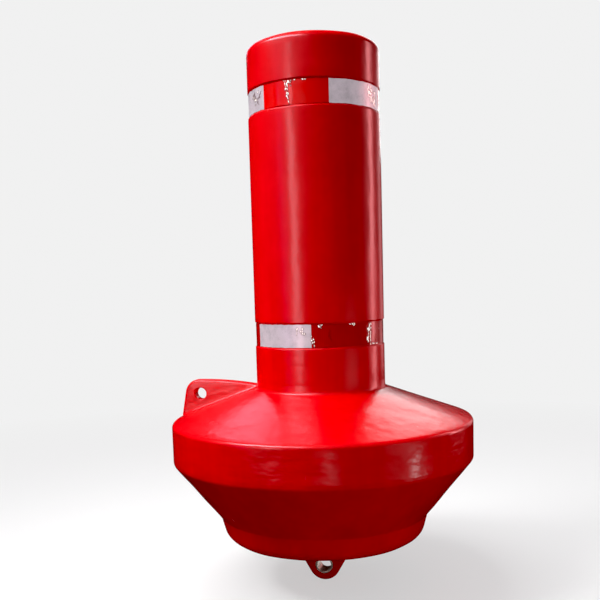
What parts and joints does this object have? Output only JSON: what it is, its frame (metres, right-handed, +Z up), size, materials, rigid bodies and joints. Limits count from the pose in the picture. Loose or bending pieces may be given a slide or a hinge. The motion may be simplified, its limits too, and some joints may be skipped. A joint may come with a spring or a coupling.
{
  "type": "marine buoy",
  "caption": "Moulded marine can buoy with a tall round tower, conical float, lifting fin and bushed mooring lug, and bands of red and white reflective tape.",
  "frame": {"origin": "centre of the mooring eye, on the buoy's axis, where a shackle holds it to its mooring", "axes": "+Z up along the tower's axis; +Y along the bore of the mooring eye; both lugs lie in the XZ plane and the lifting lug points to -X"},
  "size_m": [0.7, 0.7, 1.2321],
  "materials": {
    "moulded_red": "semi-gloss, faintly rippled moulded skin",
    "reflective_tape": "gloss film in alternate red and white fields, creased at its edges and laps",
    "bush_steel": "turned stainless steel",
    "plug_red": "satin moulded plastic"
  },
  "bodies": {
    "root": {"buoy_body": "moulded_red", "mooring_bush": "bush_steel", "filler_plug": "plug_red", "upper_tape": "reflective_tape", "lower_tape": "reflective_tape"}
  },
  "joints": []
}
